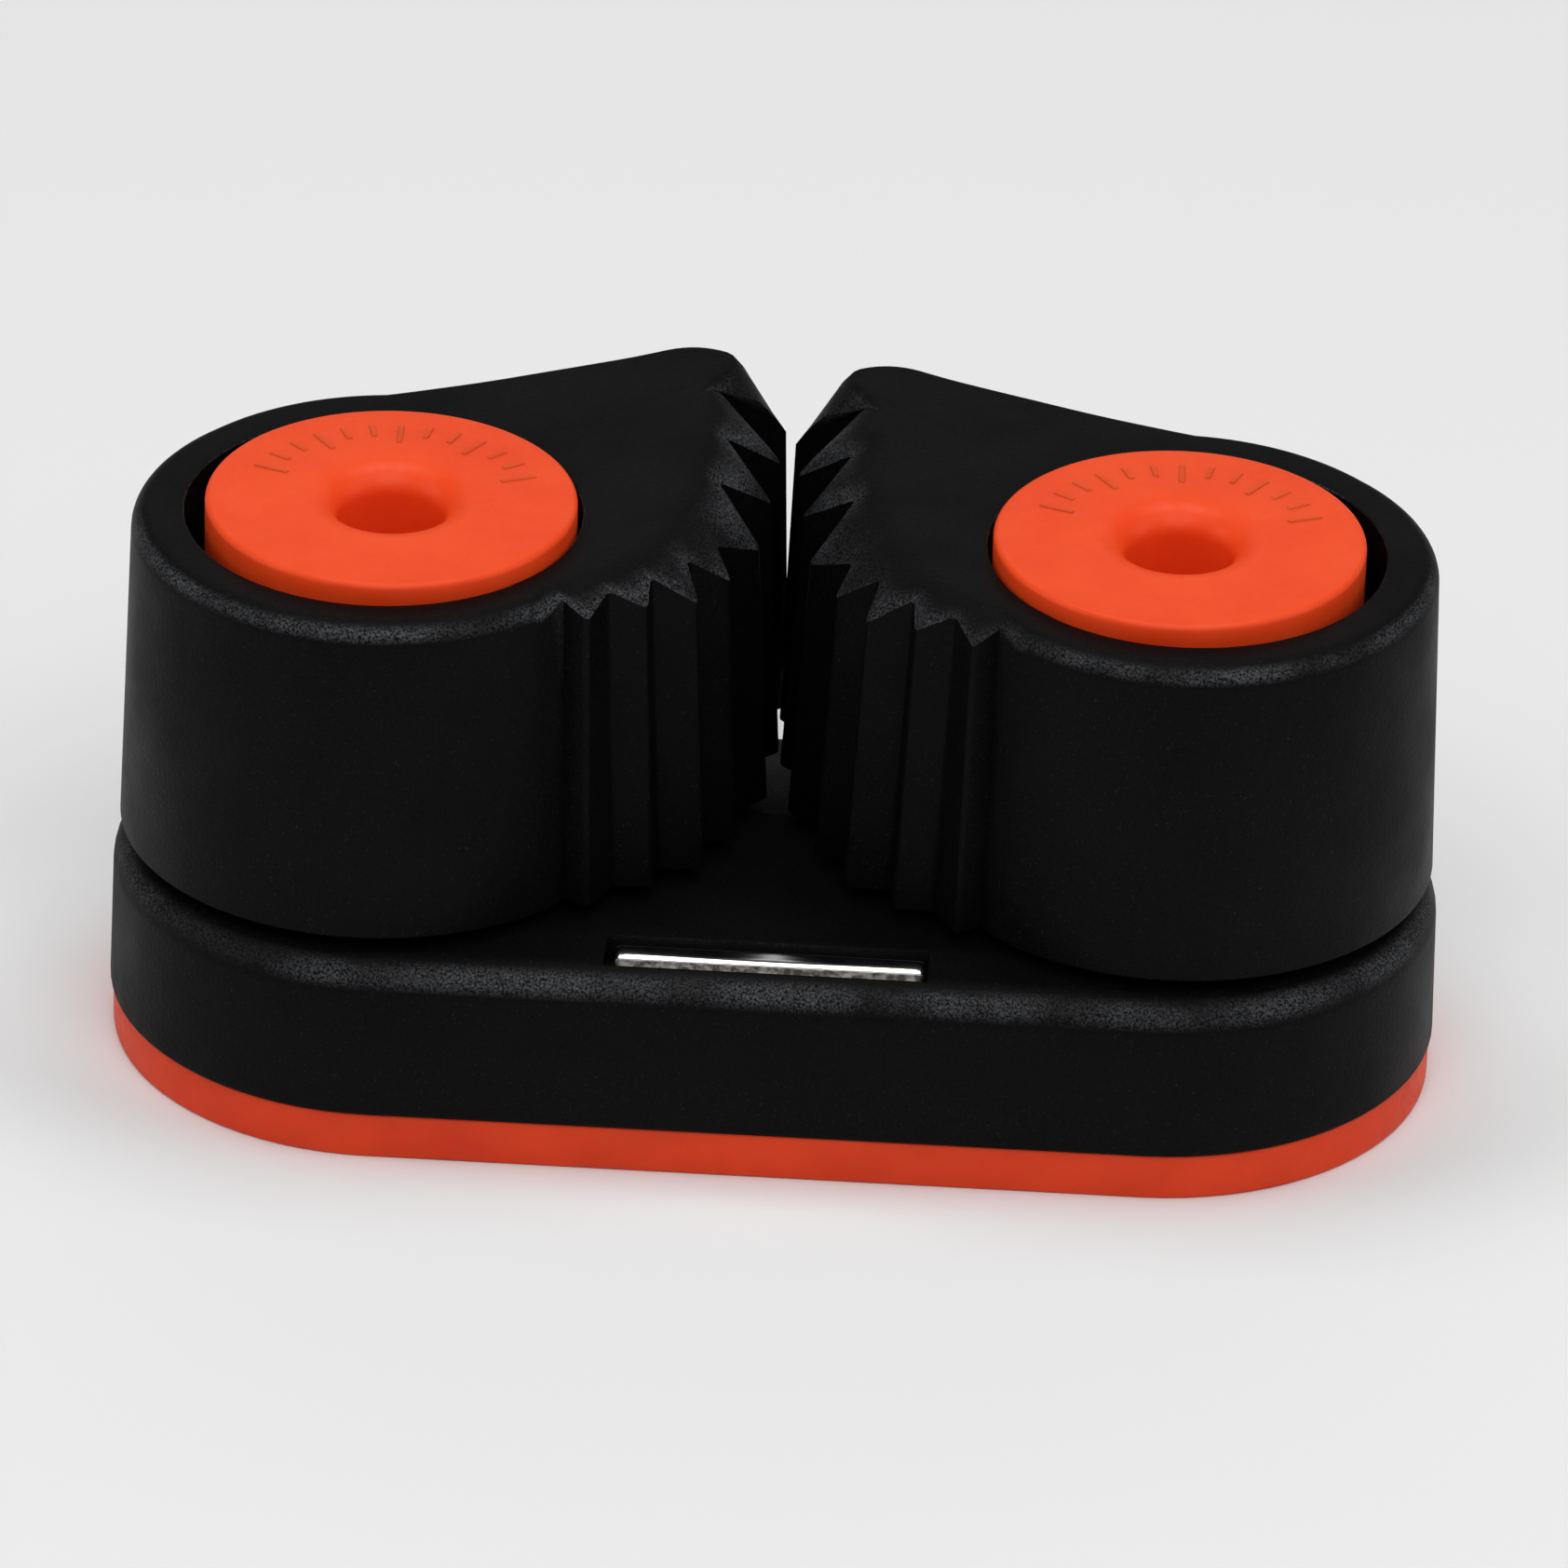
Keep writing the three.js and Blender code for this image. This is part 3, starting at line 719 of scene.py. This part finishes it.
def rim_stations():
    """Stations round the rear point, the rear edge and the hub, where the top edge is rounded."""
    nose, _ = rounded_corner(TEETH[-1], REAR_CORNER, REAR_EDGE[0], 1.8, 8)
    hub_line = arc(HUB_CENTRE, HUB_RADIUS, HUB_START_ANGLE, HUB_END_ANGLE, 80)
    knots = [nose[-2], nose[-1], *[Vector(p) for p in REAR_EDGE], hub_line[0], hub_line[1]]
    edge_line = [spline(knots, (1 + 4 * i / 24) / 6) for i in range(1, 24)]
    points = nose + edge_line + hub_line
    around = [Vector(TEETH[-1]), *points, Vector(FRONT_VALLEY)]
    rim = []
    for i, edge in enumerate(points):
        along = (around[i + 2] - around[i]).normalized()
        inward = Vector((-along.y, along.x))
        onto_hub = min(max((i - len(nose) - len(edge_line)) / 16, 0), 1)
        rounding = REAR_EDGE_RADIUS + (EDGE_RADIUS - REAR_EDGE_RADIUS) * onto_hub
        bottom = edge - inward * HUB_DRAFT * onto_hub
        rim.append(station(edge, edge + inward * rounding, bottom, 0.0, rounding, rounding))
    flank = []
    full_fall = slope_fall((Vector(TEETH[-1]) - Vector(CREASE[-1])).length)
    for share in (0.12, 0.35, 0.6, 0.85):
        edge = Vector(TEETH[-1]).lerp(nose[0], share)
        foot = Vector(CREASE[-1]).lerp(rim[0]["foot"], share)
        bottom = edge + (edge - foot).normalized() * JAW_DRAFT[-1] * (1 - share)
        flank.append(station(edge, foot, bottom, 1 - share, REAR_EDGE_RADIUS, full_fall))
    return flank + rim


def cam_section(place):
    """One station's closed section, from the underside up the outside and down the bore."""
    edge, foot, bottom = place["edge"], place["foot"], place["bottom"]
    inward = (foot - edge).normalized()
    reach = (foot - edge).length
    section = []
    low_round = 0.12
    for p in arc((low_round, CAM_BOTTOM + low_round), low_round, 270, 180, 4):
        section.append((*(bottom + inward * p.x), p.y))
    steps = 9
    slope, rounding = place["slope"], place["rounding"]

    for i in range(steps + 1):
        t = i / steps
        turn = t * math.pi / 2
        rounded = Vector((rounding * (1 - math.cos(turn)), rounding * (1 - math.sin(turn))))
        broken = 0.12 * (1 - t) ** 8
        sloped = slope_fall(reach * (1 - t)) * min(1.0, reach * (1 - t) / 0.5)
        ramped = Vector((reach * t, place["fall"] * sloped / slope_fall(reach) + broken))
        step_in, drop = rounded.lerp(ramped, slope)
        section.append((*(edge + inward * step_in), CAM_TOP - drop))
    angle = math.atan2(foot.y, foot.x)
    direction = Vector((math.cos(angle), math.sin(angle)))

    def inner(radius, z, shift=Vector((0, 0))):
        section.append((*(shift + direction * radius), z))

    mouth = 0.12
    for p in arc((COUNTERBORE_RADIUS + mouth, CAM_TOP - mouth), mouth, 90, 180, 4):
        inner(p.x, p.y, BORE_PLAY)
    inner(COUNTERBORE_RADIUS, COUNTERBORE_FLOOR, BORE_PLAY)
    inner(RACE_RADIUS + 0.1, COUNTERBORE_FLOOR)
    inner(RACE_RADIUS, COUNTERBORE_FLOOR - 0.1)
    inner(RACE_RADIUS, WEB_TOP)
    inner(WEB_RADIUS + 0.15, WEB_TOP)
    inner(WEB_RADIUS, WEB_TOP - 0.15)
    inner(WEB_RADIUS, WEB_BOTTOM + 0.15)
    inner(WEB_RADIUS + 0.15, WEB_BOTTOM)
    inner(RACE_RADIUS, WEB_BOTTOM)
    inner(RACE_RADIUS, CAM_BOTTOM + 0.15)
    inner(RACE_RADIUS + 0.15, CAM_BOTTOM)
    return section


def cam_piece(side):
    turn = REST_TURN[side]
    sections = [cam_section(s) for s in jaw_stations() + rim_stations()]
    cam = loft(f"{side}_cam_body", sections, loop=True, sharp_angle=34)
    leg = polar(LEG_RADIUS, LEG_ANGLE - turn)
    hole = drum("leg_hole", LEG_HOLE_RADIUS, CAM_BOTTOM - 1, LEG_HOLE_TOP, leg, 24)
    cut(cam, [hole], sharp_angle=34)
    cam.data.transform(Matrix.Rotation(math.radians(turn), 4, "Z"))
    is_right = side == "right"
    move(cam, (POST_X if is_right else -POST_X, 0, 0), mirror=is_right)
    return finish_piece(cam, BLACK, f"{side}_cam", f"{side}_cam")


# ---- Bearing balls and springs ------------------------------------------------------------------

def ball_profile():
    """A moulded ball: small gate flats at the poles and a fine parting line at the middle."""
    levels = [80, 65, 50, 35, 20, 8, 1.2, 0, -1.2, -8, -20, -35, -50, -65, -80]
    profile = []
    for degrees in levels:
        radius = BALL_RADIUS + (0.008 if degrees == 0 else 0)
        p = polar(radius, degrees)
        profile.append((p.x, p.y))
    return profile


def ball_piece(side, row, number):
    node = f"{side}_{row}_ball_{number:02d}"
    low, high = frame_box(node)
    segments = 24
    rings = [[(*polar(r, 360 * i / segments), z) for i in range(segments)]
             for r, z in ball_profile()]
    ball = loft(f"{node}_moulded", rings, sharp_angle=60)
    tilt = Matrix.Rotation(number * 1.9, 4, "X") @ Matrix.Rotation(number * 0.7, 4, "Y")
    ball.data.transform(tilt)
    move(ball, (low + high) / 2)
    return finish_piece(ball, BALL_BLACK, f"{side}_balls", node)


def spring_path():
    rise = SPRING_PITCH * SPRING_TURNS
    top = SPRING_BOTTOM_Z + rise
    points = []

    def add(radius, degrees, z):
        points.append(Vector((*polar(radius, degrees), z)))

    add(SPRING_RADIUS + LOWER_LEG_LENGTH, LOWER_LEG_ANGLE, SPRING_BOTTOM_Z)
    add(SPRING_RADIUS + LOWER_LEG_LENGTH / 2, LOWER_LEG_ANGLE, SPRING_BOTTOM_Z)
    sweep = LEG_ANGLE - COIL_START_ANGLE - 14
    steps = 12 * SPRING_TURNS
    for i in range(steps + 1):
        share = i / steps
        add(SPRING_RADIUS, COIL_START_ANGLE + sweep * share, SPRING_BOTTOM_Z + rise * share)
    add(SPRING_RADIUS + 1.4, LEG_ANGLE - 4, top + 0.15)
    add(LEG_RADIUS - 0.3, LEG_ANGLE - 0.5, top + 0.8)
    add(LEG_RADIUS, LEG_ANGLE, top + 2.2)
    add(LEG_RADIUS, LEG_ANGLE, LEG_TOP_Z)
    return points


def spring_piece(side):
    """Round wire swept along the spring's path, its section carried without twist."""
    knots = spring_path()
    count = (len(knots) - 1) * 4
    line = [spline(knots, i / count) for i in range(count + 1)]
    normal = Vector((0, 0, 1))
    rings = []
    sides = 12
    for i, centre in enumerate(line):
        tangent = (line[min(i + 1, count)] - line[max(i - 1, 0)]).normalized()
        normal = (normal - tangent * normal.dot(tangent)).normalized()
        other = tangent.cross(normal)
        radius = WIRE_RADIUS * (0.85 if i in (0, count) else 1.0)
        ring = []
        for k in range(sides):
            angle = 2 * math.pi * k / sides
            ring.append(centre + (normal * math.cos(angle) + other * math.sin(angle)) * radius)
        rings.append(ring)
    spring = loft(f"{side}_spring_wire", rings, sharp_angle=50)
    is_right = side == "right"
    x = POST_X if is_right else -POST_X
    move(spring, (x, 0, 0), mirror=is_right)
    finish_piece(spring, SPRING_STEEL, None, f"{side}_spring")
    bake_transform(spring)
    return spring


# ---- Camera, floor and light --------------------------------------------------------------------

def camera():
    """Long lens, a little above and right of straight ahead, very slightly rolled."""
    azimuth, elevation, roll = (math.radians(a) for a in (2.427, 29.6, 1.794))
    target = Vector((0.33, 0.02, 14.19)) * MM
    distance = 0.6
    back = Vector((
        math.sin(azimuth) * math.cos(elevation),
        -math.cos(azimuth) * math.cos(elevation),
        math.sin(elevation),
    ))
    level = Vector((0, 0, 1)).cross(back).normalized()
    upright = back.cross(level)
    right = level * math.cos(roll) + upright * math.sin(roll)
    up = upright * math.cos(roll) - level * math.sin(roll)
    data = bpy.data.cameras.new("camera")
    data.sensor_width = 36
    data.lens = 283.06
    data.clip_start = 0.01
    data.clip_end = 10
    eye = bpy.data.objects.new("camera", data)
    bpy.context.scene.collection.objects.link(eye)
    turn = Matrix((right, up, back)).transposed().to_4x4()
    eye.matrix_world = Matrix.Translation(target + back * distance) @ turn
    bpy.context.scene.camera = eye


def area_light(name, place, aim, size, power, colour=(1, 1, 1)):
    data = bpy.data.lights.new(name, "AREA")
    data.shape = "RECTANGLE"
    data.size, data.size_y = size
    data.energy = power
    data.color = colour
    lamp = bpy.data.objects.new(name, data)
    bpy.context.scene.collection.objects.link(lamp)
    direction = Vector(aim) - Vector(place)
    turn = direction.to_track_quat("-Z", "Y").to_matrix().to_4x4()
    lamp.matrix_world = Matrix.Translation(place) @ turn


def studio():
    floor_mesh = bpy.data.meshes.new("floor")
    half = 2.5
    corners = [(-half, -half, 0), (half, -half, 0), (half, half, 0), (-half, half, 0)]
    floor_mesh.from_pydata(corners, [], [(0, 1, 2, 3)])
    floor = bpy.data.objects.new("floor", floor_mesh)
    bpy.context.scene.collection.objects.link(floor)
    look, tree, shader = material("floor", (0.9, 0.9, 0.9), 0.9, specular=0.1)
    bump(tree, shader, [(noise(tree, 900, 2.0), 0.05, 0.02)])
    floor_mesh.materials.append(look)

    world = bpy.data.worlds.new("studio")
    world.use_nodes = True
    world.node_tree.nodes["Background"].inputs["Color"].default_value = (1, 1, 1, 1)
    world.node_tree.nodes["Background"].inputs["Strength"].default_value = 0.1
    bpy.context.scene.world = world

    aim = (0, 0, 0.015)
    area_light("key", (0.05, -0.45, 0.6), aim, (0.6, 0.5), 2.3)
    area_light("top", (0, 0.1, 0.7), aim, (0.6, 0.25), 2.1)
    area_light("left", (-0.55, -0.1, 0.3), aim, (0.3, 0.4), 0.7)
    area_light("right", (0.55, -0.1, 0.3), aim, (0.3, 0.4), 0.7)
    area_light("back", (0, 0.6, 0.38), aim, (0.8, 0.3), 0.4)


# ---- Assembly -----------------------------------------------------------------------------------

camera()
studio()
bpy.context.scene.view_settings.view_transform = "Standard"

pad_piece()
base_piece()
bar_piece()
for side in ("left", "right"):
    cap_piece(side)
    cam_piece(side)
    spring_piece(side)
    for row in ("lower", "upper"):
        for number in range(1, BALLS_PER_ROW + 1):
            ball_piece(side, row, number)
